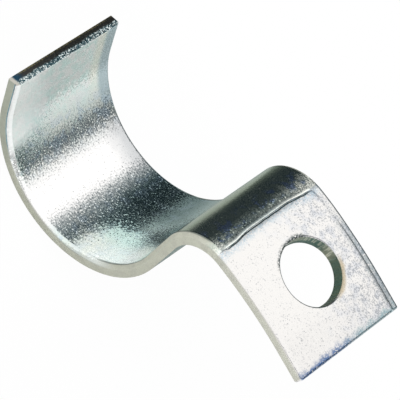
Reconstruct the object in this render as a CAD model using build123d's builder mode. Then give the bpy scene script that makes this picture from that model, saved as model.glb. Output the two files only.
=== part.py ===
# One-lug pipe clip, punched and bent from one steel strip.
# Origin: middle of the screw hole, on the plane of the foot's mounting face.
# +Z leaves the mounting face, towards the ceiling or joist that it is screwed to.
# +X runs from the pipe towards the end of the foot, and Y is the direction of the pipe.
import os
from math import degrees

from build123d import *

os.makedirs("parts", exist_ok=True)

# The strip, with two edges rolled over on the side that was blanked first
strip_width = 20.0
strip_thickness = 1.75
rolled_edge_radius = 0.6

# The foot, flat at its outer end and slightly bowed towards the bend
hole_to_foot_end = 10.75
foot_flat_length = 4.6
bow_radius = 60.0
bow_angle = 13.5

# The bend from the foot into the leg, measured on the face that meets the pipe
bend_radius = 7.1
bend_angle = 88.0

# The leg, the seat that goes round the pipe, and the straight lip that leads the pipe in
leg_length = 6.6
pipe_diameter = 26.9
pipe_clearance = 0.15
seat_angle = 160.2
lip_length = 5.2

# The punched screw hole, a little off the strip's middle line, with its rolled rim on the mounting face
hole_diameter = 9.6
hole_rim_radius = 0.3
hole_off_middle = 0.55

# The foot is coined up to a little past the start of the bend, which leaves a raised shoulder along one edge
coin_depth = 0.12
coin_reach_into_bend = 0.95
shoulder_width = 1.35
shoulder_corner_radius = 0.8

# The cut ends of the strip, broken by tumbling
foot_end_break = 0.35
lip_end_break = 0.15

seat_radius = pipe_diameter / 2 + pipe_clearance
bow_start_x = hole_to_foot_end - foot_flat_length
strip_middle = Plane.XZ.offset(hole_off_middle)

with BuildPart() as pipe_clip:
    # Middle line of the face that meets the pipe, from the foot's end to the lip
    with BuildLine(strip_middle) as face_line:
        foot = Line((hole_to_foot_end, coin_depth), (bow_start_x, coin_depth))
        bow = JernArc(foot @ 1, foot % 1, bow_radius, bow_angle)
        bend = JernArc(bow @ 1, bow % 1, bend_radius, bend_angle)
        leg = PolarLine(bend @ 1, leg_length, direction=bend % 1)
        seat = JernArc(leg @ 1, leg % 1, seat_radius, -seat_angle)
        PolarLine(seat @ 1, lip_length, direction=seat % 1)

    # The strip follows that line, with its thickness on the far side of it
    strip_start = Plane(origin=foot @ 0, x_dir=(0, -1, 0), z_dir=foot % 0)
    with BuildSketch(strip_start) as strip_section:
        Rectangle(strip_width, strip_thickness, align=(Align.CENTER, Align.MAX))
        fillet(strip_section.vertices().group_by(Axis.Y)[-1], rolled_edge_radius)
    sweep(path=face_line.line)

    # The coined face runs from the near edge to the shoulder, and from the foot's end into the bend
    with BuildLine(strip_middle) as coin_line:
        add(foot)
        add(bow)
        JernArc(bow @ 1, bow % 1, bend_radius, degrees(coin_reach_into_bend / bend_radius))
    with BuildSketch(strip_start) as coin_section:
        with Locations((shoulder_width / 2, 0)):
            Rectangle(strip_width - shoulder_width, coin_depth, align=(Align.CENTER, Align.MAX))
    sweep(path=coin_line.line, mode=Mode.SUBTRACT)

    # Rounded corner of the shoulder, where the coining tool's corner stood
    coin_steps = pipe_clip.edges(Select.LAST).group_by(SortBy.LENGTH)[0]
    fillet(coin_steps.sort_by(Axis.X)[0], shoulder_corner_radius)

    # Screw hole with its rolled rim on the mounting face
    with Locations((0, 0, 0)):
        Hole(hole_diameter / 2)
    hole_edges = pipe_clip.edges(Select.LAST).filter_by(GeomType.LINE, reverse=True)
    fillet(hole_edges.filter_by(lambda edge: edge.center().Z > -strip_thickness / 2), hole_rim_radius)

    # Broken edges of the two cut ends, apart from their edge on the back
    foot_end = pipe_clip.faces().sort_by(Axis.X)[-1]
    fillet(foot_end.edges().sort_by(Axis.Z)[1:], foot_end_break)
    lip_end = pipe_clip.faces().filter_by(GeomType.PLANE).sort_by(Axis.X)[0]
    fillet(lip_end.edges().sort_by(Axis.X)[1:], lip_end_break)

pipe_clip.part.label = "pipe_clip"
export_step(pipe_clip.part, "parts/pipe_clip.step")
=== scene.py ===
# %% [markdown]
# # A zinc-plated pipe clip
#
# A pipe clip of this kind is one strip of steel. A press blanks it, punches its screw hole, coins the
# foot flat and bends it round a former, and then it is tumbled and zinc plated. This lesson makes its
# visible model in the same order: a flat blank first, with every edge and mark on it, and the bending
# last. What a press does to flat metal is easy on flat metal, and hard on metal that is already bent.
#
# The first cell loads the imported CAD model. It is the frame that everything here has to fit.

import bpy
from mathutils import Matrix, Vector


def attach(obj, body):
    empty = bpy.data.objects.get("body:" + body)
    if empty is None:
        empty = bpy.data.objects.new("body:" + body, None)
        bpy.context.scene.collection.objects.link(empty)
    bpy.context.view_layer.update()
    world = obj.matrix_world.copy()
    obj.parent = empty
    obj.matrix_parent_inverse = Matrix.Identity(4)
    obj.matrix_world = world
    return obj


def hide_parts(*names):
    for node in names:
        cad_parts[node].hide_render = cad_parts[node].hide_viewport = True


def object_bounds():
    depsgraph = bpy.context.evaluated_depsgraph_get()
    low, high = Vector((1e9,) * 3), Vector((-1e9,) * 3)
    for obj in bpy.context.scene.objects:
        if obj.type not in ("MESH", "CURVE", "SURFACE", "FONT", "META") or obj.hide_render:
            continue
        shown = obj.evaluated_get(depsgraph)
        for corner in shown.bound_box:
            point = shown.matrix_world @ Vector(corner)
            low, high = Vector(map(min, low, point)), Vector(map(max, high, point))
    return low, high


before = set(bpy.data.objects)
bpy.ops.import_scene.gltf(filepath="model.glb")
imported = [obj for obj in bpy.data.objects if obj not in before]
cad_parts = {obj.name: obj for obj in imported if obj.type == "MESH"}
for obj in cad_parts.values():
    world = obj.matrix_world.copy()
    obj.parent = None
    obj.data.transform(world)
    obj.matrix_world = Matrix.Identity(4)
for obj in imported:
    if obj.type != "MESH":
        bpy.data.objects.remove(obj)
cad_low, cad_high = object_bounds()
print("CAD box in millimetres:", [round(1000 * side, 2) for side in cad_high - cad_low])

# %% [markdown]
# Blender counts in metres, and a clip of 50 mm is thought of in millimetres. Sizes are written in
# millimetres here, and `MM` turns them into metres where they are used.
#
# The sizes below are those of the strip and of its bends, so that the visible piece comes out where
# the CAD solid is. A length along the strip is called a station, and it starts at the foot's end.

# %% Sizes of the strip and its bends
import math

import bmesh
import bpy
from mathutils import Matrix, Vector

MM = 0.001

strip_width = 20.0
strip_thickness = 1.75
rolled_edge = 0.6
foot_end_break = 0.35
lip_end_break = 0.15

hole_station = 10.75
hole_off_middle = 0.55
hole_radius = 4.8
hole_rim = 0.3

coin_depth = 0.12
coin_reach = 0.95
shoulder_width = 1.35

foot_flat = 4.6
bow_radius, bow_angle = 60.0, 13.5
bend_radius, bend_angle = 7.1, 88.0
leg_length = 6.6
seat_radius, seat_angle = 13.6, 160.2
lip_length = 5.2

bow_length = bow_radius * math.radians(bow_angle)
bend_length = bend_radius * math.radians(bend_angle)
seat_length = seat_radius * math.radians(seat_angle)
bend_station = foot_flat + bow_length
coin_station = bend_station + coin_reach
leg_station = bend_station + bend_length
seat_station = leg_station + leg_length
lip_station = seat_station + seat_length
strip_length = lip_station + lip_length
print(f"the strip is {strip_length:.2f} mm long before it is bent")

# %% [markdown]
# Every step picks some points, edges or faces and gives them to an operator, as a hand does with the
# mouse. `pick` does it by place: it hands the middle of each item, in millimetres, to a test, and
# selects those that pass.

# %% Picking by place
def middle(item):
    """Gives the middle of a vertex, an edge or a face, in millimetres."""
    if isinstance(item, bmesh.types.BMVert):
        return item.co / MM
    if isinstance(item, bmesh.types.BMEdge):
        return (item.verts[0].co + item.verts[1].co) / 2 / MM
    return item.calc_center_median() / MM


def pick(kind, test):
    """Selects what passes the test, and nothing else. Kind is VERT, EDGE or FACE."""
    bpy.ops.mesh.select_mode(type=kind)
    bpy.ops.mesh.select_all(action="DESELECT")
    shape = bmesh.from_edit_mesh(bpy.context.object.data)
    items = {"VERT": shape.verts, "EDGE": shape.edges, "FACE": shape.faces}[kind]
    picked = [item for item in items if test(middle(item))]
    for item in picked:
        item.select_set(True)
    shape.select_flush_mode()
    bmesh.update_edit_mesh(bpy.context.object.data)
    return len(picked)


def move(x=0.0, y=0.0, z=0.0, **more):
    """Moves what is selected, by millimetres."""
    bpy.ops.transform.translate(value=(x * MM, y * MM, z * MM), **more)


def pull(reach, falloff, **by):
    """Moves what is selected, and takes its neighbours within reach along by proportional editing."""
    move(**by, use_proportional_edit=True, proportional_edit_falloff=falloff, proportional_size=reach * MM)


# %% [markdown]
# ## The blank
#
# The blank is a plain rectangle. It will be bent along its length, and a bend needs many short faces
# one after the other, so it starts as a fine grid. The two long edges and the two ends are rounded
# later, and a rounding of 0.6 mm needs a border that is a little wider than that. So the grid stops
# short of all four sides, and one row of wider faces is extruded out to each of them.

# %% Grid with its four borders
cell = 0.25
long_border = 0.65
foot_border = 0.45
lip_border = 0.3
near = 0.01

grid_length = strip_length - foot_border - lip_border
grid_width = strip_width - 2 * long_border
half_width = strip_width / 2
columns = round(grid_length / cell)
rows = round(grid_width / cell)

bpy.ops.object.select_all(action="DESELECT")
bpy.ops.mesh.primitive_grid_add(
    x_subdivisions=columns,
    y_subdivisions=rows,
    size=1,
    location=((foot_border + grid_length / 2) * MM, 0, 0),
)
clip = bpy.context.object
clip.name = "zinc_plated_strip"
bpy.ops.transform.resize(value=(grid_length * MM, grid_width * MM, 1))
bpy.ops.object.transform_apply(location=True, rotation=True, scale=True)

bpy.ops.object.mode_set(mode="EDIT")
for side in (-1, 1):
    pick("EDGE", lambda at: at.y * side > grid_width / 2 - near)
    bpy.ops.mesh.extrude_region_move()
    move(y=side * long_border)
pick("EDGE", lambda at: at.x < foot_border + near)
bpy.ops.mesh.extrude_region_move()
move(x=-foot_border)
pick("EDGE", lambda at: at.x > strip_length - lip_border - near)
bpy.ops.mesh.extrude_region_move()
move(x=lip_border)
print("faces on the flat blank:", len(bmesh.from_edit_mesh(clip.data).faces))

# %% [markdown]
# The screw hole is punched, 0.55 mm off the strip's middle line. To get a round hole in a square grid,
# a square patch is cut out and its border is extruded inwards. To Sphere makes a circle of the new
# border, which is then brought to the hole's size and place. The faces fan out from the hole in neat
# rings, and the innermost ring is wide enough for the rounding of the hole's rim.

# %% Screw hole
patch_half = 6.0
hole_rings = 3
hole_middle = Vector((hole_station, -hole_off_middle, 0))


def nearest_column(station):
    """Gives the station of the grid line nearest to a station."""
    return foot_border + round((station - foot_border) * columns / grid_length) * grid_length / columns


def nearest_row(y):
    """Gives the y of the grid line nearest to a y."""
    return -grid_width / 2 + round((y + grid_width / 2) * rows / grid_width) * grid_width / rows


patch_low = Vector((nearest_column(hole_middle.x - patch_half), nearest_row(hole_middle.y - patch_half)))
patch_high = Vector((nearest_column(hole_middle.x + patch_half), nearest_row(hole_middle.y + patch_half)))


def patch_reach(at):
    """Gives how far a place is outside the patch, or less than zero inside it."""
    return max(patch_low.x - at.x, at.x - patch_high.x, patch_low.y - at.y, at.y - patch_high.y)


pick("FACE", lambda at: patch_reach(at) < 0)
bpy.ops.mesh.delete(type="FACE")
hole_points = pick("EDGE", lambda at: abs(patch_reach(at)) < near)
bpy.ops.mesh.extrude_region_move()
bpy.ops.transform.tosphere(value=1)
ring = [vertex.co / MM for vertex in bmesh.from_edit_mesh(clip.data).verts if vertex.select]
ring_middle = sum(ring, Vector()) / len(ring)
shrink = hole_radius / (ring[0] - ring_middle).length
bpy.ops.transform.resize(value=(shrink, shrink, 1), center_override=ring_middle * MM)
move(*(hole_middle - ring_middle))
pick("EDGE", lambda at: near < -patch_reach(at) and (at - hole_middle).length > hole_radius + near)
bpy.ops.mesh.subdivide(number_cuts=hole_rings - 1)
upward = sum(face.normal.z > 0 for face in bmesh.from_edit_mesh(clip.data).faces)
print("points round the hole:", hole_points, "and faces looking up:", upward)

# %% [markdown]
# The foot is coined: a flat tool presses it 0.12 mm thinner and leaves a step along the tool's edge.
# The step runs across the strip a little past the start of the bend, turns a rounded corner, and
# follows one edge to the foot's end. That edge lies at the low end of Y here and at the high end once
# the strip is bent, because a strip that turns over as it bends has its sides change places. The grid
# lines nearest to the step are moved onto it. Proportional editing takes the neighbours of a moved
# point along, so it can bow the step in its middle, as the real one is, and round its corner.
#
# Insetting the tool's side of the step adds two narrow rows of faces beside it, one for the step and
# one for the groove at its foot. A third group keeps the row on the other side that will stand up as
# a crest. Vertex groups remember all of these, because the heights are given later, and to the front
# of the strip alone.

# %% Lines of the coined step
step_y = shoulder_width - half_width
step_column = nearest_column(coin_station)
step_row = nearest_row(step_y)
corner_pull = 0.26
corner_reach = 1.6
bow_pull = 0.4
bow_half = 3.5
bow_reach = 4.0
crest_ahead = 0.3
crest_start = step_y + 0.5
crest_end = 8.6
crest_column = nearest_column(coin_station + crest_ahead)


def remember(name):
    """Keeps what is selected as a vertex group."""
    clip.vertex_groups.active = clip.vertex_groups.new(name=name)
    bpy.ops.object.vertex_group_assign()


pick("VERT", lambda at: abs(at.x - step_column) < near)
move(x=coin_station - step_column)
pick("VERT", lambda at: abs(at.y - step_row) < near)
move(y=step_y - step_row)


def is_coined(at):
    """True for a place that the coining tool pressed."""
    return at.x < coin_station and at.y > step_y


pick("FACE", is_coined)
remember("tool")
pick("VERT", lambda at: abs(at.x - crest_column) < near and crest_start < at.y < crest_end)
remember("crest")
pick("VERT", lambda at: abs(at.x - coin_station) < near and abs(at.y) < bow_half)
pull(bow_reach, "SMOOTH", x=bow_pull)
pick("VERT", lambda at: (at - Vector((coin_station, step_y, 0))).length < near)
pull(corner_reach, "SHARP", x=-corner_pull, y=corner_pull)


def pick_group(name, kind="FACE"):
    """Selects a vertex group. Of kind FACE, it selects the faces that have all their corners in it."""
    bpy.ops.mesh.select_mode(type="VERT")
    bpy.ops.mesh.select_all(action="DESELECT")
    clip.vertex_groups.active = clip.vertex_groups[name]
    bpy.ops.object.vertex_group_select()
    bpy.ops.mesh.select_mode(type=kind)


step_width = 0.07
groove_width = 0.09
pick_group("tool")
for name, width in (("lowered", step_width), ("pressed flat", groove_width)):
    bpy.ops.mesh.inset(thickness=width * MM, use_boundary=False)
    remember(name)
print(f"the step is at station {coin_station:.2f}, and the crest's row at {crest_column:.2f}")

# %% [markdown]
# ## Thickness and rounded edges
#
# Extruding the blank would give it a thickness too, but Solidify says it as one number. All of it lies
# behind the face that meets the pipe, so that this face stays where it is.

# %% Solidify
bpy.ops.object.mode_set(mode="OBJECT")
bpy.ops.object.modifier_add(type="SOLIDIFY")
clip.modifiers["Solidify"].thickness = strip_thickness * MM
clip.modifiers["Solidify"].offset = -1
bpy.ops.object.modifier_apply(modifier="Solidify")
print("faces with a thickness:", len(clip.data.polygons))

# %% [markdown]
# Two marks of the press come before the edges are rounded, while they are still single lines. The
# punch left the hole through the back, where it drew a burr that stands up and narrows the hole. The
# lip's end was sheared, and its front edge is torn: its points are moved at random by a twentieth of a
# millimetre, from a fixed seed, so that every run tears it in the same way.

# %% Marks of the punch and of the shears
bpy.ops.object.mode_set(mode="EDIT")
burr_height = 0.25
burr_radius = 4.66
burr_share = burr_radius / hole_radius
pick("VERT", lambda at: at.z < near - strip_thickness and (at - hole_middle).xy.length < hole_radius + near)
move(z=-burr_height)
bpy.ops.transform.resize(value=(burr_share, burr_share, 1), center_override=hole_middle * MM)

torn_by = 0.05
torn_seed = 3


def on_front(at):
    """True for a place on the face that meets the pipe."""
    return at.z > -torn_by - near


def on_long_edge(at):
    """True for a place on one of the two long edges."""
    return abs(at.y) > half_width - near


lip_points = pick("VERT", lambda at: on_front(at) and at.x > strip_length - near and not on_long_edge(at))
bpy.ops.transform.vertex_random(offset=torn_by * MM, seed=torn_seed)
print("points of the torn edge:", lip_points)

# %% [markdown]
# The strip was blanked from its front, so its edges there are rolled over, and those of the back are
# sharp. One Bevel modifier rounds them all in one go, corners included. Each edge's bevel weight is
# its share of the widest rounding, which is that of the two long edges.

# %% Rolled edges
bevel_segments = 6


def weigh(radius, test):
    """Gives the edges that pass the test their share of the widest rounding."""
    pick("EDGE", test)
    bpy.ops.transform.edge_bevelweight(value=radius / rolled_edge)


weigh(rolled_edge, lambda at: on_front(at) and on_long_edge(at))
weigh(foot_end_break, lambda at: on_front(at) and at.x < near)
weigh(foot_end_break, lambda at: at.x < near and on_long_edge(at) and not on_front(at))
weigh(lip_end_break, lambda at: on_front(at) and at.x > strip_length - torn_by - near)
weigh(hole_rim, lambda at: on_front(at) and abs((at - hole_middle).length - hole_radius) < near)

bpy.ops.object.mode_set(mode="OBJECT")
bpy.ops.object.modifier_add(type="BEVEL")
clip.modifiers["Bevel"].limit_method = "WEIGHT"
clip.modifiers["Bevel"].width = rolled_edge * MM
clip.modifiers["Bevel"].segments = bevel_segments
bpy.ops.object.modifier_apply(modifier="Bevel")
print("faces after the bevels:", len(clip.data.polygons))

# %% [markdown]
# Now the tool comes down: what it covers sinks by the coining depth, with a fine groove along its
# edge beside the bend. The groups hold points of the front and of the back alike, because Solidify
# copied them, so `keep` drops those of the back before anything is moved.

# %% Coined step
groove_depth = 0.05
front_depth = 0.9

bpy.ops.object.mode_set(mode="EDIT")


def at_front(at):
    """True for a place nearer to the front than to the back."""
    return at.z > -front_depth


def by_bend(at):
    """True for a place close to the step at the bend, and not close to the near edge."""
    return at.x > coin_station - corner_reach and at.y < crest_end


def keep(test):
    """Drops from the selection what fails the test, and gives how many points are left."""
    bpy.ops.mesh.select_mode(type="VERT")
    shape = bmesh.from_edit_mesh(clip.data)
    for vertex in shape.verts:
        if vertex.select and not test(middle(vertex)):
            vertex.select_set(False)
    shape.select_flush_mode()
    bmesh.update_edit_mesh(clip.data)
    return sum(vertex.select for vertex in shape.verts)


pick_group("lowered")
print("points pressed down:", keep(at_front))
move(z=-coin_depth)
clip.vertex_groups.active = clip.vertex_groups["pressed flat"]
bpy.ops.object.vertex_group_deselect()
print("points of the groove:", keep(by_bend))
move(z=-groove_depth)

# %% [markdown]
# The metal that the tool pushed aside stands up as a crest across the strip. It is one row of points,
# raised with proportional editing. All but the front is hidden while that is done, because a hidden
# point stays where it is. The shoulder that the tool missed is worn down towards the foot's end in
# the same way.

# %% Crest and worn shoulder
crest_height = 0.07
crest_reach = 0.45
worn_depth = 0.11
worn_station = 11.0
worn_reach = 6.0
shoulder_end = step_y - 0.1

pick("VERT", lambda at: at.z > -near and at.x > coin_station - near)
bpy.ops.mesh.hide(unselected=True)
pick_group("crest", "VERT")
print("points of the crest:", keep(at_front))
pull(crest_reach, "SMOOTH", z=crest_height)
bpy.ops.mesh.reveal(select=False)

pick("VERT", lambda at: at.y < shoulder_end and at_front(at))
bpy.ops.mesh.hide(unselected=True)
worn = pick("VERT", lambda at: at.y < shoulder_end and at_front(at) and at.x < worn_station)
print("points of the worn shoulder:", worn)
pull(worn_reach, "SMOOTH", z=-worn_depth)
bpy.ops.mesh.reveal(select=False)
bpy.ops.object.mode_set(mode="OBJECT")
clip.vertex_groups.clear()

# %% [markdown]
# Marks on the metal follow the flat strip, not the bent one: they were there, or are lengthwise,
# before the bend. So each point keeps its place on the flat blank as an attribute, in millimetres,
# and the material reads that.

# %% Place on the flat blank
places = [value / MM for vertex in clip.data.vertices for value in vertex.co]
blank_place = clip.data.attributes.new("blank_place", "FLOAT_VECTOR", "POINT")
blank_place.data.foreach_set("vector", places)
print("points that keep their place:", len(blank_place.data))

# %% [markdown]
# ## Bending
#
# The strip is bent by a Curve modifier: the blank's X axis follows a curve, and the face that meets
# the pipe keeps its length. The curve is drawn from the same sizes as the CAD solid. An arc becomes
# one, two or three Bezier spans whose handles are 4/3 tan(turn/4) of the radius long, the length at
# which a Bezier span comes nearest to a circle. Each stretch is worked out here as a list of spans.

# %% Line of the bends
def straight(length):
    """A straight stretch, as its length, the length of its handles and no turn."""
    return [(length, length / 3, 0.0)]


def arc(radius, degrees, spans=1):
    """An arc, as the chord, the handles and the turn of each of its spans. It turns left or right."""
    turn = math.radians(degrees) / spans
    return [(2 * radius * math.sin(abs(turn) / 2), 4 / 3 * math.tan(abs(turn) / 4) * radius, turn)] * spans


route = (
    straight(foot_flat)
    + arc(bow_radius, bow_angle)
    + arc(bend_radius, bend_angle, spans=2)
    + straight(leg_length)
    + arc(seat_radius, -seat_angle, spans=3)
    + straight(lip_length)
)
print("spans of the line:", len(route))

# %% [markdown]
# The former is the curve itself. Its points follow from the spans: each one lies a chord further on,
# in the direction between the heading before the span and the one after it. The first heading is -X,
# from the foot's end towards the bend, so the front of the foot, its mounting face, looks up.

# %% Former
knots = [Vector((hole_station, -hole_off_middle, coin_depth))]
heading = math.pi
headings = [heading]
for chord, _, turn in route:
    toward = heading + turn / 2
    knots.append(knots[-1] + chord * Vector((math.cos(toward), 0, math.sin(toward))))
    heading += turn
    headings.append(heading)

former_steps = 96
bpy.ops.curve.primitive_bezier_curve_add()
former = bpy.context.object
former.name = "former"
line = former.data
line.resolution_u = former_steps
line.splines.clear()
spline = line.splines.new("BEZIER")
spline.bezier_points.add(len(route))
for number, (point, knot, angle) in enumerate(zip(spline.bezier_points, knots, headings)):
    forward = Vector((math.cos(angle), 0, math.sin(angle)))
    before = route[number - 1][1] if number else 1.0
    after = route[number][1] if number < len(route) else 1.0
    point.handle_left_type = point.handle_right_type = "FREE"
    point.co = knot * MM
    point.handle_left = (knot - forward * before) * MM
    point.handle_right = (knot + forward * after) * MM
print(f"the former's line is {spline.calc_length() / MM:.2f} mm long")

# %% [markdown]
# Once the strip is bent, the former has done its work and goes. Shade Smooth by Angle smooths the
# rounded edges and keeps the sharp ones of the back.

# %% Bending the strip
smooth_angle = 32
bpy.ops.object.select_all(action="DESELECT")
clip.select_set(True)
bpy.context.view_layer.objects.active = clip
bpy.ops.object.modifier_add(type="CURVE")
clip.modifiers["Curve"].object = former
clip.modifiers["Curve"].deform_axis = "POS_X"
bpy.ops.object.modifier_apply(modifier="Curve")
bpy.data.objects.remove(former)

bpy.ops.object.shade_smooth_by_angle(angle=math.radians(smooth_angle))
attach(clip, "root")
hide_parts("pipe_clip")
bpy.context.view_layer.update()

# %% [markdown]
# ## Finish
#
# Shader maths reads best as an expression. `Value` wraps a node's output socket, and its operators add
# Math nodes, so that `1 - mask` or `grain * 0.5` builds what it says.

# %% Values in expressions
class Value:
    """What a node gives out, for use in an expression."""

    def __init__(self, nodes, socket):
        self.nodes = nodes
        self.socket = socket

    def __add__(self, other):
        return self.nodes.math("ADD", self, other)

    def __sub__(self, other):
        return self.nodes.math("SUBTRACT", self, other)

    def __mul__(self, other):
        return self.nodes.math("MULTIPLY", self, other)

    def __rsub__(self, other):
        return self.nodes.math("SUBTRACT", other, self)

    __radd__ = __add__
    __rmul__ = __mul__


# %% [markdown]
# Any other node comes from the method `add` of `Nodes`: it takes the node's type, its own settings,
# and the values or links of its sockets, by name or by number. The methods after it are the few nodes
# that come back all the time: a soft step, a band between two of them, a noise, a blend of colours,
# and a tint that is laid over a colour.

# %% Nodes
class Nodes:
    """The node tree of a material or of the world."""

    def __init__(self, owner):
        owner.use_nodes = True
        self.tree = owner.node_tree
        self.tree.nodes.clear()

    def add(self, kind, settings=None, sockets=None, output=0):
        """Adds a node, and gives the output that is asked for."""
        node = self.tree.nodes.new(kind)
        for name, setting in (settings or {}).items():
            if name == "stops":
                self.set_stops(node.color_ramp, setting)
            else:
                setattr(node, name, setting)
        for name, item in (sockets or {}).items():
            if isinstance(item, Value):
                self.tree.links.new(item.socket, node.inputs[name])
            else:
                node.inputs[name].default_value = item
        return Value(self, node.outputs[output]) if node.outputs else None

    def set_stops(self, ramp, stops):
        """Gives a colour ramp its stops, each a place from 0 to 1 and a colour."""
        while len(ramp.elements) < len(stops):
            ramp.elements.new(1.0)
        for element, (place, colour) in zip(ramp.elements, stops):
            element.position = place
            element.color = (*colour, 1)

    def math(self, operation, *terms):
        """Works on numbers."""
        return self.add("ShaderNodeMath", {"operation": operation}, dict(enumerate(terms)))

    def vector(self, operation, *terms):
        """Works on vectors."""
        return self.add("ShaderNodeVectorMath", {"operation": operation}, dict(enumerate(terms)))

    def part(self, vector, axis):
        """Gives the X, Y or Z of a vector."""
        return self.add("ShaderNodeSeparateXYZ", None, {0: vector}, output=axis)

    def stretch(self, vector, x, y, z):
        """Scales a vector's three parts, to draw a pattern out."""
        return self.add("ShaderNodeMapping", None, {"Vector": vector, "Scale": (x, y, z)})

    def noise(self, vector, scale, detail, roughness=0.5):
        """Gives a cloudy pattern from 0 to 1. Its scale is in clouds to the millimetre."""
        sockets = {"Vector": vector, "Scale": scale, "Detail": detail, "Roughness": roughness}
        return self.add("ShaderNodeTexNoise", None, sockets)

    def smooth(self, value, low, high):
        """Goes from 0 at low to 1 at high, with soft ends. Low may be the greater of the two."""
        span = {"Value": value, "From Min": low, "From Max": high}
        return self.add("ShaderNodeMapRange", {"interpolation_type": "SMOOTHSTEP"}, span)

    def band(self, value, start, full, fade, end):
        """Goes from 0 at start to 1 at full, and back from 1 at fade to 0 at end."""
        return self.smooth(value, start, full) * self.smooth(value, end, fade)

    def blend(self, factor, first, second):
        """Mixes two colours, each three numbers or what a node gives out."""
        colours = [item if isinstance(item, Value) else (*item, 1) for item in (first, second)]
        sockets = {0: factor, 6: colours[0], 7: colours[1]}
        return self.add("ShaderNodeMix", {"data_type": "RGBA"}, sockets, output=2)

    def layer(self, under, tint, mask, share=1.0):
        """Lays a tint over a colour where the mask is, as strongly as its share says."""
        return self.blend(mask if share == 1.0 else share * mask, under, tint)

    def report(self, what):
        """Prints how many nodes there are by now."""
        print(f"{what}: {len(self.tree.nodes)} nodes by now")


# %% [markdown]
# Zinc plating is thin and bright, and it copies every mark of the steel below. So all of the piece has
# one material, and masks say what differs from place to place. They read the place on the flat blank:
# the station along the strip, the place across it, which is high at the edge that faces the camera,
# and the depth below the front, which is negative. All of these are millimetres.

# %% Zinc
zinc = bpy.data.materials.new("zinc_plate")
nodes = Nodes(zinc)
blank = nodes.add("ShaderNodeAttribute", {"attribute_name": "blank_place"}, None, output="Vector")
station = nodes.part(blank, "X")
across = nodes.part(blank, "Y")
depth = nodes.part(blank, "Z")
off_middle = nodes.math("ABSOLUTE", across)
nodes.report("the place on the blank")

# %% [markdown]
# Plated steel is never even. Two fine noises stand for the grain that tumbling leaves, one for colour
# and one for the tilt of small facets. Two broad ones stand for the film over the zinc, which is teal
# in one place and straw in another, and a drawn-out one for the rolling marks along the strip. The
# film's finer noise also frays the borders of the masks that follow, by so many millimetres.

# %% Grain
speck = nodes.noise(blank, scale=4.5, detail=1.0, roughness=0.7)
fleck = nodes.noise(blank, scale=5.0, detail=1.0, roughness=0.6)
film = nodes.noise(blank, scale=0.13, detail=3.0)
film_fine = nodes.noise(blank, scale=0.7, detail=3.0)
streaks = nodes.noise(nodes.stretch(blank, 0.9, 5.0, 5.0), scale=1.0, detail=3.0)


def mottled(value, share, noise):
    """Moves a value up and down by a share of a noise."""
    return value + share * (noise - 0.5)


def frayed(value, width):
    """Moves a place to and fro by the film's fine noise, so that a mask's border is uneven."""
    return mottled(value, width, film_fine)


nodes.report("the grain")

# %% [markdown]
# A mask is 1 where a mark is and 0 elsewhere. Most are a product of soft steps, some that go up and
# some that come down again. The same could be painted by hand on an image, but masks by place stay
# sharp at any size and need no file.
#
# The first ones find the steel that was cut after it was rolled. The shears cut the long sides and
# the lip's end, smooth at first and torn where the metal gave way, and the punch cut the hole's wall.

# %% Cut faces
sheared_side = nodes.smooth(off_middle, 9.97, 9.99) * nodes.smooth(depth, -0.55, -0.65)
cut_end = nodes.smooth(station, strip_length - 0.09, strip_length - 0.06)
torn = cut_end * nodes.smooth(frayed(depth, 0.7), -0.95, -0.60)
cut_corner = cut_end * nodes.smooth(across, 7.6, 9.0)
cut_border = nodes.smooth(across, 9.3, 9.7)

hole_x = station - hole_station
hole_y = across + hole_off_middle
hole_distance = nodes.math("SQRT", hole_x * hole_x + hole_y * hole_y)
hole_wall = nodes.smooth(hole_distance, hole_radius + 0.04, hole_radius + 0.01)
hole_wall = hole_wall * nodes.smooth(depth, -0.2, -0.35)
nodes.report("the cut faces")

# %% [markdown]
# The two long edges are rolled over, and the plating there differs along the strip. From the bend to
# the middle of the seat they are rubbed bare, with a thin dark line beside that. On the lip the near
# one is a flat facet, painted white as a highlight. Dirt has settled in a line where the rounding
# meets the sheared side.

# %% Long edges
# Painted highlight: the lip's near rolled edge is made white and less of a metal.
lip_facet_highlight = nodes.smooth(across, 9.36, 9.44) * (1 - sheared_side) * nodes.smooth(station, 60.0, 68.0)
bare_edge = nodes.smooth(off_middle, 9.40, 9.50) * nodes.band(station, 20.5, 22.5, 43.0, 48.0)
bare_edge = bare_edge * nodes.smooth(depth, -0.75, -0.55)
bare_line = nodes.band(off_middle, 9.20, 9.32, 9.52, 9.66) * nodes.band(station, 20.5, 22.5, 45.0, 50.0)
bare_line = bare_line * nodes.smooth(depth, -0.3, -0.2)
side_line = nodes.band(depth, -0.40, -0.50, -0.56, -0.66) * nodes.smooth(off_middle, 9.85, 9.93)
side_line = side_line * (1 - nodes.band(station, 19.0, 22.5, 44.0, 48.0))
nodes.report("the long edges")

# %% [markdown]
# The coined step bows a little, so its masks read a station that bows with it. The groove at its foot
# is darkened as a painted shadow of the step. On the bend, right after it, the metal was stretched and
# shows its grain.

# %% Masks at the step
along = station - bow_pull * nodes.smooth(off_middle, bow_half + bow_reach, bow_half)
on_foot = nodes.smooth(along, coin_station + 0.1, coin_station - 0.1)
on_bend = nodes.smooth(along, coin_station, coin_station + 0.8) * nodes.smooth(station, 29.0, 25.5)
wavy = frayed(along, 0.25)
ahead = wavy - coin_station
# Painted shadow of the step, along the groove at its foot.
step_shadow = nodes.band(ahead, -0.36, -0.26, -0.16, -0.06)
step_shadow = step_shadow * nodes.band(across, step_y + 0.2, step_y + 1.6, 7.6, 9.0)
groove_side = nodes.smooth(frayed(along, 1.2), coin_station - 1.7, coin_station - 0.5)
groove_side = groove_side * nodes.smooth(along, coin_station, coin_station - 0.1)
hump_grain = nodes.smooth(along, coin_station + 0.3, coin_station + 0.6)
hump_grain = hump_grain * nodes.smooth(station, 22.8, 20.6)
nodes.report("the step")

# %% [markdown]
# The seat and the lip go through three zones on the way to the lip's end: grainy metal, a satin white
# stretch, and a dull haze, which is full sooner at the near edge than at the far one.

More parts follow.
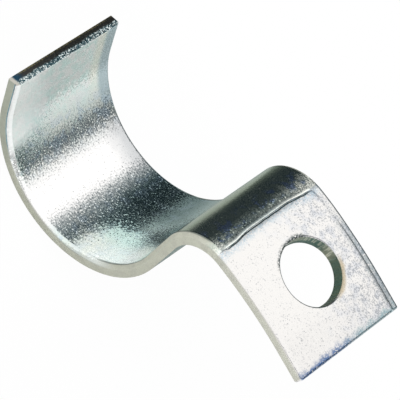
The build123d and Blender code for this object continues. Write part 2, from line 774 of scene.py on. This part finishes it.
# %% Zones of the seat and the lip
white_zone = nodes.band(station, 53.0, 57.0, 61.0, 65.0)
haze = nodes.smooth(station, 66.3, 73.0 - 4.0 * nodes.smooth(across, 1.0, 8.5))
grainy = nodes.smooth(station, 38.0, 47.0) * (1 - 0.6 * nodes.smooth(station, 66.0, 70.0))
grainy = grainy * (1 - 0.55 * white_zone)
nodes.report("the zones")

# %% [markdown]
# Tints are laid over each other from the widest to the smallest, as a painter does. On metal the base
# colour is what it reflects with, so a dark tint is a place that sends little light back, such as
# grease or an etched patch. The film comes first, then the bend with its painted shade, the hump, and
# the white zone.

# %% Film over the strip and the hump
zinc_teal, zinc_straw = (0.72, 0.81, 0.79), (0.80, 0.82, 0.77)
bend_green_painted_shade, hump_blue = (0.42, 0.48, 0.42), (0.36, 0.46, 0.74)
satin_white, satin_grey = (0.80, 0.79, 0.785), (0.52, 0.53, 0.54)

patchy = nodes.smooth(film + 0.3 * film_fine, 0.5, 0.8)
hump_spots = nodes.smooth(mottled(film_fine, 0.3, fleck), 0.50, 0.62)
hump_spots = hump_spots * nodes.smooth(along, coin_station + 0.6, coin_station + 1.4)
hump_spots = hump_spots * nodes.smooth(station, 24.5, 22.5)
far_dim = white_zone * nodes.smooth(frayed(across, 2.0), -5.0, -9.5)

zinc_colour = nodes.blend(patchy, zinc_teal, zinc_straw)
# The bend is tinted green and darkened. The darkening is a painted reflection of dark surroundings.
zinc_colour = nodes.layer(zinc_colour, bend_green_painted_shade, on_bend, share=0.9)
zinc_colour = nodes.layer(zinc_colour, hump_blue, hump_spots, share=0.75)
zinc_colour = nodes.layer(zinc_colour, satin_white, white_zone)
zinc_colour = nodes.layer(zinc_colour, satin_grey, far_dim)
nodes.report("the film")

# %% [markdown]
# The haze on the lip is a thin film that has broken up: teal flecks stand in a warm white. Towards the
# near edge it is whiter, as painted light. Along its far edge run a straw band and a slate one, the
# colours of a thicker film.

# %% Haze on the lip
haze_teal, haze_white, haze_near_painted_light = (0.76, 0.93, 0.89), (0.97, 0.95, 0.94), (1.0, 1.0, 0.98)
straw, slate = (0.93, 0.92, 0.80), (0.46, 0.56, 0.60)

haze_patches = nodes.smooth(mottled(film_fine, 0.6, fleck), 0.38, 0.60)
haze_colour = nodes.blend(haze_patches, haze_teal, haze_white)
# Painted light: the haze is whiter towards the near edge.
haze_colour = nodes.layer(haze_colour, haze_near_painted_light, nodes.smooth(across, 2.0, 8.0), share=0.6)
straw_band = nodes.band(across, -5.2, -6.6, -7.2, -8.2) * haze
slate_band = nodes.smooth(across, -7.0, -8.2) * nodes.smooth(station, 64.0, 68.0)

zinc_colour = nodes.layer(zinc_colour, haze_colour, haze, share=0.85)
zinc_colour = nodes.layer(zinc_colour, straw, straw_band, share=0.7)
zinc_colour = nodes.layer(zinc_colour, slate, slate_band, share=0.9)
nodes.report("the haze")

# %% [markdown]
# The bottom of the seat is where the pipe lies. The film is teal there, with painted shade towards the
# far edge and painted light at the near one. It has blue spots, and more of them towards the lip. The
# leg is teal too, with an olive stretch where it leaves the hump.

# %% Tints of the seat and the leg
seat_green, seat_painted_shade, seat_painted_light = (0.56, 0.80, 0.77), (0.22, 0.31, 0.31), (0.93, 0.97, 0.97)
film_blue, leg_green, olive = (0.56, 0.68, 0.78), (0.50, 0.70, 0.70), (0.54, 0.60, 0.42)

seat_teal = nodes.band(station, 39.0, 42.0, 51.0, 54.0) * (1 - nodes.smooth(across, 3.0, 7.5))
seat_far_shade = nodes.band(station, 39.0, 45.0, 52.6, 55.2) * nodes.smooth(frayed(across, 1.5), 0.8, -4.0)
seat_near_light = nodes.band(station, 38.5, 41.0, 47.0, 50.0) * nodes.smooth(across, 4.0, 8.0)
blue_spots = nodes.smooth(mottled(film_fine, 0.4, film), 0.50, 0.62)
blue_spots = blue_spots * (0.45 + 0.55 * nodes.smooth(station, 51.0, 54.0))
blue_spots = blue_spots * grainy * (1 - haze) * (1 - white_zone)

zinc_colour = nodes.layer(zinc_colour, seat_green, seat_teal, share=0.45)
# Painted shade towards the seat's far edge.
zinc_colour = nodes.layer(zinc_colour, seat_painted_shade, seat_far_shade, share=0.9)
# Painted light at the seat's near edge.
zinc_colour = nodes.layer(zinc_colour, seat_painted_light, seat_near_light, share=0.7)
zinc_colour = nodes.layer(zinc_colour, film_blue, blue_spots, share=0.6)
zinc_colour = nodes.layer(zinc_colour, leg_green, nodes.band(station, 27.0, 29.5, 34.0, 39.0), share=0.7)
zinc_colour = nodes.layer(zinc_colour, olive, nodes.band(station, 24.2, 26.0, 27.6, 29.4), share=0.6)
nodes.report("the seat and the leg")

# %% [markdown]
# The coined foot is whiter than the rest, because the tool pressed the rolling marks out of it. It has
# lilac and grey clouds, and pits that crowd towards the far edge and the foot's end.

# %% Foot
foot_white, foot_lilac, cloud_grey = (0.715, 0.70, 0.685), (0.68, 0.68, 0.695), (0.50, 0.52, 0.56)
pit_grey = (0.30, 0.32, 0.35)

lilac = nodes.smooth(film_fine, 0.45, 0.75) * nodes.smooth(across, 6.0, -4.0)
clouds = nodes.smooth(mottled(film_fine, 0.5, film), 0.42, 0.66) * nodes.smooth(across, 2.0, -7.0)
crowd = 0.14 * nodes.smooth(across, 3.0, -9.0) + 0.03 * nodes.smooth(station, 12.0, 2.0)
pits = nodes.smooth(mottled(fleck + crowd, 0.25, film_fine), 0.62, 0.76) * on_foot

foot_colour = nodes.blend(lilac, foot_white, foot_lilac)
foot_colour = nodes.layer(foot_colour, cloud_grey, clouds, share=0.5)
colour = nodes.blend(on_foot, zinc_colour, foot_colour)
colour = nodes.layer(colour, pit_grey, pits, share=0.55)
nodes.report("the foot")

# %% [markdown]
# Small marks come after that. The foot is darker and bluer in specks along its far edge, and its end
# is stained blue, more so at the near side. The hole's rim has dirt on one side and a little rust on
# the other.

# %% Marks of the foot
far_edge_dark, end_teal, end_blue = (0.14, 0.20, 0.23), (0.30, 0.40, 0.43), (0.07, 0.14, 0.30)
dirt_black, rust_brown = (0.06, 0.08, 0.08), (0.42, 0.33, 0.18)

far_edge = nodes.smooth(frayed(across, 2.5), -7.9, -9.2) * nodes.smooth(station, 17.5, 10.0)
far_edge = far_edge * nodes.smooth(speck, 0.30, 0.52)
foot_end = nodes.smooth(frayed(station, 2.6), 1.3, 0.2) * nodes.smooth(depth, -0.7, -0.4)
foot_end = foot_end * nodes.smooth(speck, 0.30, 0.50)
end_colour = nodes.blend(nodes.smooth(across, -3.0, 3.0), end_teal, end_blue)
from_hole = frayed(hole_distance, 0.5)
dirt = nodes.smooth(from_hole, hole_radius + 0.7, hole_radius + 0.2) * nodes.smooth(hole_x, 0.6, 3.2)
dirt = dirt * nodes.band(hole_y, -3.4, -1.6, 3.6, 4.9) * nodes.smooth(speck, 0.40, 0.52)
rust = nodes.smooth(from_hole, hole_radius + 0.75, hole_radius + 0.2) * nodes.smooth(hole_x, 0.2, -1.6)
rust = rust * nodes.smooth(hole_y, -0.4, -2.6)

colour = nodes.layer(colour, far_edge_dark, far_edge, share=0.65)
colour = nodes.layer(colour, end_colour, foot_end)
colour = nodes.layer(colour, dirt_black, dirt)
colour = nodes.layer(colour, rust_brown, rust, share=0.7)
nodes.report("the foot's marks")

# %% [markdown]
# At the step, the coining tool pushed metal up the bend. It lies there in pale, burnished smears, more
# of them at the two sides than in the middle. The foot is stained blue beside the groove.

# %% Marks of the step
smear_white, stain_blue, step_shadow_black = (0.97, 0.94, 0.86), (0.40, 0.52, 0.60), (0.07, 0.10, 0.10)

to_far, to_near = nodes.smooth(across, -2.0, -7.0), nodes.smooth(across, 4.5, 8.0)
smear_reach = station + 1.6 * nodes.smooth(film_fine, 0.35, 0.65)
pushed = nodes.smooth(smear_reach, 22.6 + to_far, coin_station + 0.9)
pushed = pushed * nodes.smooth(along, coin_station, coin_station + 0.2) * nodes.smooth(fleck, 0.36, 0.56)
pushed = pushed * (0.35 + 0.65 * to_far + 0.45 * to_near)
stained = groove_side * nodes.smooth(speck, 0.38, 0.56)

colour = nodes.layer(colour, smear_white, pushed, share=0.85)
colour = nodes.layer(colour, stain_blue, stained, share=0.6)
# Painted shadow of the step, dark along the groove.
colour = nodes.layer(colour, step_shadow_black, step_shadow)
nodes.report("the step's marks")

# %% [markdown]
# Sheared steel under a thin plating is warm and dull, with dark and bright specks. The same colour
# stands for the rubbed edges of the leg. The line on the sides turns from brown to teal on the lip.

# %% Colour of the sides
side_pale, side_warm, side_foot = (0.76, 0.77, 0.68), (0.65, 0.65, 0.59), (0.54, 0.54, 0.49)
side_dark, side_bright = (0.42, 0.41, 0.35), (0.95, 0.93, 0.88)
side_green, side_lip = (0.46, 0.47, 0.40), (0.36, 0.40, 0.34)
line_dark, painted_highlight_white = (0.10, 0.13, 0.12), (0.98, 0.99, 0.99)
line_brown, line_teal = (0.36, 0.36, 0.30), (0.06, 0.26, 0.34)

side_colour = nodes.blend(nodes.smooth(film_fine, 0.38, 0.68), side_pale, side_warm)
side_colour = nodes.layer(side_colour, side_foot, on_foot, share=0.5)
side_colour = nodes.layer(side_colour, side_dark, nodes.smooth(fleck, 0.56, 0.66), share=0.4)
side_colour = nodes.layer(side_colour, side_bright, nodes.smooth(speck, 0.56, 0.66), share=0.35)
side_colour = nodes.layer(side_colour, side_green, nodes.smooth(station, 17.0, 20.0), share=0.45)
side_colour = nodes.layer(side_colour, side_lip, nodes.smooth(station, 64.0, 69.0), share=0.5)

colour = nodes.layer(colour, side_colour, nodes.math("MAXIMUM", sheared_side, bare_edge))
colour = nodes.layer(colour, line_dark, bare_line, share=0.7)
# Painted highlight on the lip's near facet.
colour = nodes.layer(colour, painted_highlight_white, lip_facet_highlight, share=0.9)
colour = nodes.layer(colour, nodes.blend(haze, line_brown, line_teal), (0.5 + 0.4 * haze) * side_line)
nodes.report("the sides")

# %% [markdown]
# The punch scored the hole's wall from front to back, so its noise is drawn out through the strip's
# thickness. The wall is darkest at its back and beside the bend, where it looks into the shade.

# %% Colour of the hole's wall
wall_pale, wall_green = (0.55, 0.55, 0.45), (0.11, 0.16, 0.13)
score_brown, wall_black = (0.20, 0.19, 0.11), (0.07, 0.12, 0.10)

score = nodes.noise(nodes.stretch(blank, 4.0, 4.0, 0.3), scale=1.0, detail=2.0)
wall_back = nodes.smooth(frayed(depth, 0.4), -1.15, -1.45)
wall_dark = nodes.smooth(hole_x, 0.8, 2.6) * (0.5 + 0.45 * wall_back)
wall_dark = wall_dark + 0.5 * nodes.smooth(hole_y, -1.6, -3.2) * nodes.smooth(score, 0.36, 0.54)

wall_colour = nodes.blend(nodes.smooth(frayed(hole_x, 1.2), 0.2, -0.6), wall_pale, wall_green)
wall_colour = nodes.layer(wall_colour, score_brown, nodes.smooth(score, 0.44, 0.62), share=0.55)
wall_colour = nodes.layer(wall_colour, wall_black, wall_dark)
colour = nodes.layer(colour, wall_colour, hole_wall)
nodes.report("the hole's wall")

# %% [markdown]
# The lip's cut end is bare steel, near black partly as painted shade. It has brown specks at its back,
# painted glints in the torn band at its front, a blue corner, and a pale border at the near edge.

# %% Colour of the cut end
cut_black_and_painted_shade, cut_brown, corner_blue = (0.05, 0.05, 0.045), (0.24, 0.21, 0.11), (0.02, 0.07, 0.12)
torn_teal, glint_white, border_pale = (0.06, 0.12, 0.14), (0.82, 0.90, 0.89), (0.55, 0.53, 0.47)

# Painted glints: white specks in the torn band.
torn_glints = torn * nodes.smooth(speck, 0.53, 0.59)
back_specks = nodes.smooth(depth, -1.35, -1.6) * nodes.smooth(speck, 0.4, 0.6)

# The cut end's near black is partly painted shade.
cut_colour = nodes.blend(back_specks, cut_black_and_painted_shade, cut_brown)
cut_colour = nodes.layer(cut_colour, corner_blue, cut_corner)
cut_colour = nodes.layer(cut_colour, torn_teal, torn)
cut_colour = nodes.layer(cut_colour, glint_white, torn_glints)
cut_colour = nodes.layer(cut_colour, border_pale, cut_border)
colour = nodes.layer(colour, cut_colour, cut_end)
nodes.report("the cut end")

# %% [markdown]
# What makes plated steel glitter is that its skin is a patchwork of small facets that lean a little
# each way. A bump map could do that, but its strength changes with the distance of the camera. Here a
# noise's colour is added to the normal instead, three independent numbers for the three directions,
# and the masks say how much.

# %% Small facets
facet_noise = {"Vector": blank, "Scale": 3.8, "Detail": 1.0}
facets = nodes.add("ShaderNodeTexNoise", None, facet_noise, output="Color")
centred = nodes.vector("SUBTRACT", facets, (0.5, 0.5, 0.5))
seat_tilt = grainy * (0.24 + 1.8 * nodes.smooth(fleck, 0.52, 0.66))
bend_tilt = 2.2 * on_bend * nodes.smooth(fleck, 0.68, 0.74)
hump_tilt = 1.3 * hump_grain * nodes.smooth(speck, 0.46, 0.60)
tilt = 0.10 + 0.22 * haze + seat_tilt + bend_tilt + hump_tilt + 1.2 * torn
normal = nodes.add("ShaderNodeNewGeometry", output="Normal")
tipped = nodes.add("ShaderNodeVectorMath", {"operation": "SCALE"}, {0: centred, "Scale": tilt})
tipped = nodes.vector("ADD", normal, tipped)
nodes.report("the small facets")

# %% [markdown]
# Three leans follow the shape, and all of them are along Y, across the strip. Its edge curls up a
# little over the seat, the rolled edge of the lip is one flat facet that catches the light, and the
# bare edges are turned to the near side.

# %% Leans
facet_slope = -0.42
edge_slope = -3.0

curl = 0.45 * nodes.smooth(across, -1.0, 9.5) * nodes.band(station, 35.5, 39.5, 49.0, 53.5)
normal_y = nodes.part(normal, "Y")
in_plane = nodes.math("SQRT", 1 - normal_y * normal_y)
lean_y = lip_facet_highlight * (facet_slope * in_plane - normal_y) + bare_edge * (edge_slope * in_plane - normal_y)
lean_y = lean_y - curl * (1 - bare_edge)
lean = nodes.add("ShaderNodeCombineXYZ", None, {"Y": lean_y})
tipped = nodes.vector("NORMALIZE", nodes.vector("ADD", tipped, lean))
nodes.report("the leans")

# %% [markdown]
# Bare sheared steel is rougher than the plating, and so is the bottom of a pit. The lip's haze and
# the smears at the step scatter light as a dull film does, so they are less of a metal, and the haze
# more so towards the near edge, as painted light. The white facet and the torn glints are less of a
# metal so that their painted highlights show white.

# %% Surface
roughness = 0.19 + 0.3 * sheared_side + 0.3 * bare_edge + 0.25 * hole_wall
roughness = roughness + 0.2 * pits + 0.04 * on_bend + 0.1 * (streaks - 0.5)
# The haze is less of a metal towards the near edge, which makes it paler there as painted light.
dull_haze = (0.32 + 0.46 * nodes.smooth(across, 0.0, 9.0)) * haze * (1 - sheared_side)
dull_marks = 0.45 * pushed + 0.3 * lip_facet_highlight + 0.25 * torn_glints + 0.6 * cut_end * cut_border
metal = 1 - dull_haze - dull_marks
surface = nodes.add(
    "ShaderNodeBsdfPrincipled",
    None,
    {"Base Color": colour, "Metallic": metal, "Roughness": roughness, "Normal": tipped},
)
nodes.add("ShaderNodeOutputMaterial", None, {"Surface": surface})
clip.data.materials.clear()
clip.data.materials.append(zinc)
nodes.report("the zinc plate")

# %% [markdown]
# ## Studio
#
# A shiny thing shows its surroundings, so the studio is made for its reflections. The floor is a sheet
# of pale paper, a hair below the clip, so that their faces don't share a plane.

# %% Floor
floor_gap = 0.02
floor_length, floor_depth = 100.0, 92.0
floor_middle = Vector((-10.0, -14.0, cad_low.z / MM - floor_gap))
bpy.ops.mesh.primitive_plane_add(size=1, location=floor_middle * MM)
floor = bpy.context.object
floor.name = "floor"
bpy.ops.transform.resize(value=(floor_length * MM, floor_depth * MM, 1))
bpy.ops.object.transform_apply(location=True, rotation=True, scale=True)
print(f"the floor is {floor_length:.0f} by {floor_depth:.0f} mm")

# %% [markdown]
# The camera and what is behind glass see the sheet white. In reflections it has a soft shade, as a
# table has in the shadow of its tent, and that gives the lip and the hump their grey tones. The shade
# is darkest at the far left, as if a black card lay there. Near its border the sheet is all white, so
# that it runs into the background. From below it is clear, so that the clip's underside can be looked
# at too.

# %% Paper
shade_far, shade_near, shade_lip = (0.33, 0.37, 0.35), (0.78, 0.78, 0.75), (0.47, 0.51, 0.50)
shade_left, paper_white = (0.03, 0.04, 0.05), (0.9, 0.9, 0.9)
own_white = 0.965
mirror_white = 0.08

paper = bpy.data.materials.new("floor_paper")
nodes = Nodes(paper)
seen = nodes.add("ShaderNodeLightPath", output="Is Camera Ray")
mirrored = nodes.add("ShaderNodeLightPath", output="Is Glossy Ray")
through = nodes.add("ShaderNodeLightPath", output="Is Transmission Ray")
floor_place = nodes.add("ShaderNodeTexCoord", output="Object")
floor_x = nodes.part(floor_place, "X") * (1 / MM)
floor_y = nodes.part(floor_place, "Y") * (1 / MM)

lip_patch = nodes.smooth(floor_x, -16.0, -22.0) * nodes.smooth(floor_y, 6.0, 12.0)
far_left = nodes.smooth(floor_x, -34.0, -52.0) * nodes.smooth(floor_y, 4.0, 16.0)
shade = nodes.blend(nodes.smooth(floor_y, 6.0, -16.0), shade_far, shade_near)
shade = nodes.layer(shade, shade_lip, lip_patch)
shade = nodes.layer(shade, shade_left, far_left)
lit = nodes.add("ShaderNodeBsdfDiffuse", None, {"Color": nodes.blend(seen, shade, paper_white)})

border_x = nodes.smooth(nodes.math("ABSOLUTE", floor_x - floor_middle.x), 36.0, 49.0)
border_y = nodes.smooth(nodes.math("ABSOLUTE", floor_y - floor_middle.y), 33.0, 45.0)
border = nodes.math("MAXIMUM", border_x, border_y)
whiter = (own_white + (1 - own_white) * border) * seen + mirror_white * mirrored + own_white * through
white = nodes.add("ShaderNodeEmission", None, {"Strength": 1.0})
sheet = nodes.add("ShaderNodeMixShader", None, {0: whiter, 1: lit, 2: white})
underside = nodes.add("ShaderNodeNewGeometry", output="Backfacing")
clear = nodes.add("ShaderNodeBsdfTransparent")
sheet = nodes.add("ShaderNodeMixShader", None, {0: underside, 1: sheet, 2: clear})
nodes.add("ShaderNodeOutputMaterial", None, {"Surface": sheet})
floor.data.materials.append(paper)
nodes.report("the paper")

# %% [markdown]
# Jewellers and photographers put shiny things in a tent of white cloth with black cards in it. The
# cloth is the soft light, and the cards draw the dark bands that show how the metal curves. This tent
# is a sphere whose colour goes round the clip in zones, each an angle and how bright the cloth is
# there. One ring of zones stands behind the clip's middle, and a lighter one on the side of the
# camera, where the rolled edges look. The camera itself looks through the cloth.

# %% Tent
tent_radius = 1.0
bpy.ops.mesh.primitive_uv_sphere_add(segments=64, ring_count=32, radius=tent_radius)
tent = bpy.context.object
tent.name = "tent"
tent.visible_camera = False

dark = (0.024, 0.036, 0.043)
end_cloth = (0.10, 0.13, 0.14)
middle_zones = (
    (-180, dark),
    (-152, dark),
    (-138, (0.09, 0.11, 0.11)),
    (-118, (0.30, 0.34, 0.33)),
    (-93, (0.40, 0.42, 0.40)),
    (-75, (0.55, 0.60, 0.60)),
    (-38, (0.78, 0.86, 0.86)),
    (-20, (0.82, 0.88, 0.88)),
    (-3, (0.86, 0.88, 0.87)),
    (25, (0.74, 0.76, 0.75)),
    (36, (0.50, 0.54, 0.54)),
    (42, (0.08, 0.10, 0.12)),
    (55, (0.09, 0.11, 0.13)),
    (68, (1.1, 1.1, 1.1)),
    (80, (1.35, 1.35, 1.34)),
    (118, (1.37, 1.37, 1.36)),
    (126, (0.42, 0.45, 0.46)),
    (134, (0.25, 0.28, 0.30)),
    (146, (0.12, 0.15, 0.17)),
    (158, dark),
    (180, dark),
)
near_zones = (
    (-180, (1.25, 1.25, 1.22)),
    (-110, (1.2, 1.2, 1.18)),
    (-60, (1.0, 1.0, 1.0)),
    (-40, (1.5, 1.5, 1.5)),
    (20, (1.5, 1.5, 1.5)),
    (36, (0.3, 0.3, 0.3)),
    (53, (0.25, 0.25, 0.25)),
    (66, (1.3, 1.3, 1.3)),
    (115, (1.37, 1.37, 1.36)),
    (135, (1.1, 1.15, 1.15)),
    (158, (1.1, 1.1, 1.08)),
    (180, (1.25, 1.25, 1.22)),
)
print("zones of the tent:", len(middle_zones), "and", len(near_zones))

# %% [markdown]
# A colour ramp holds at most 32 stops, which is enough for a ring. The angle round the clip, from the
# arc tangent of Z over X, becomes the place on the ramp. Along Y the near ring gives way to the other
# one, and the cloth is dark at the far end.

# %% Cloth
cloth = bpy.data.materials.new("tent_cloth")
nodes = Nodes(cloth)
inside = nodes.add("ShaderNodeTexCoord", output="Object")
tent_y = nodes.part(inside, "Y")
turn = nodes.math("ARCTAN2", nodes.part(inside, "Z"), nodes.part(inside, "X")) * (0.5 / math.pi) + 0.5


def ring_of(zones):
    """Gives the colours of the zones round the clip, by the angle of turn."""
    stops = [(angle / 360 + 0.5, level) for angle, level in zones]
    return nodes.add("ShaderNodeValToRGB", {"stops": stops}, {0: turn})


bands = nodes.blend(nodes.smooth(tent_y, 0.50, 0.1), ring_of(middle_zones), ring_of(near_zones))
bands = nodes.layer(bands, end_cloth, nodes.smooth(tent_y, 0.76, 1.0))
glow = nodes.add("ShaderNodeEmission", None, {"Color": bands, "Strength": 1.0})
nodes.add("ShaderNodeOutputMaterial", None, {"Surface": glow})
tent.data.materials.append(cloth)
cloth.cycles.emission_sampling = "NONE"
nodes.report("the cloth")

# %% [markdown]
# Past the tent and the floor there is only plain white, which is what the camera sees as background.

# %% World
world = bpy.data.worlds.new("studio")
bpy.context.scene.world = world
nodes = Nodes(world)
background = nodes.add("ShaderNodeBackground", None, {"Color": (1, 1, 1, 1), "Strength": 1.0})
nodes.add("ShaderNodeOutputWorld", None, {"Surface": background})
nodes.report("the world")

# %% [markdown]
# The camera stands high over the near side with a long lens, and is rolled until the foot points to
# the lower right, as in the photograph. Its place was found by laying the CAD model's edges over it.

# %% Camera
camera_place = Vector((-56.634, -247.233, 313.248))
aim_place = Vector((-15.93, -9.41, -1.15))
roll = math.radians(-67.62)
lens = 278.737
sensor_width = 36.0

camera = bpy.data.objects.new("camera", bpy.data.cameras.new("camera"))
bpy.context.scene.collection.objects.link(camera)
camera.data.lens = lens
camera.data.sensor_width = sensor_width
look = (aim_place - camera_place).to_track_quat("-Z", "Y")
camera.matrix_world = Matrix.LocRotScale(camera_place * MM, look, None) @ Matrix.Rotation(-roll, 4, "Z")
bpy.context.scene.camera = camera
bpy.context.scene.view_settings.view_transform = "Standard"
print(f"the camera is {(aim_place - camera_place).length:.0f} mm from the clip")
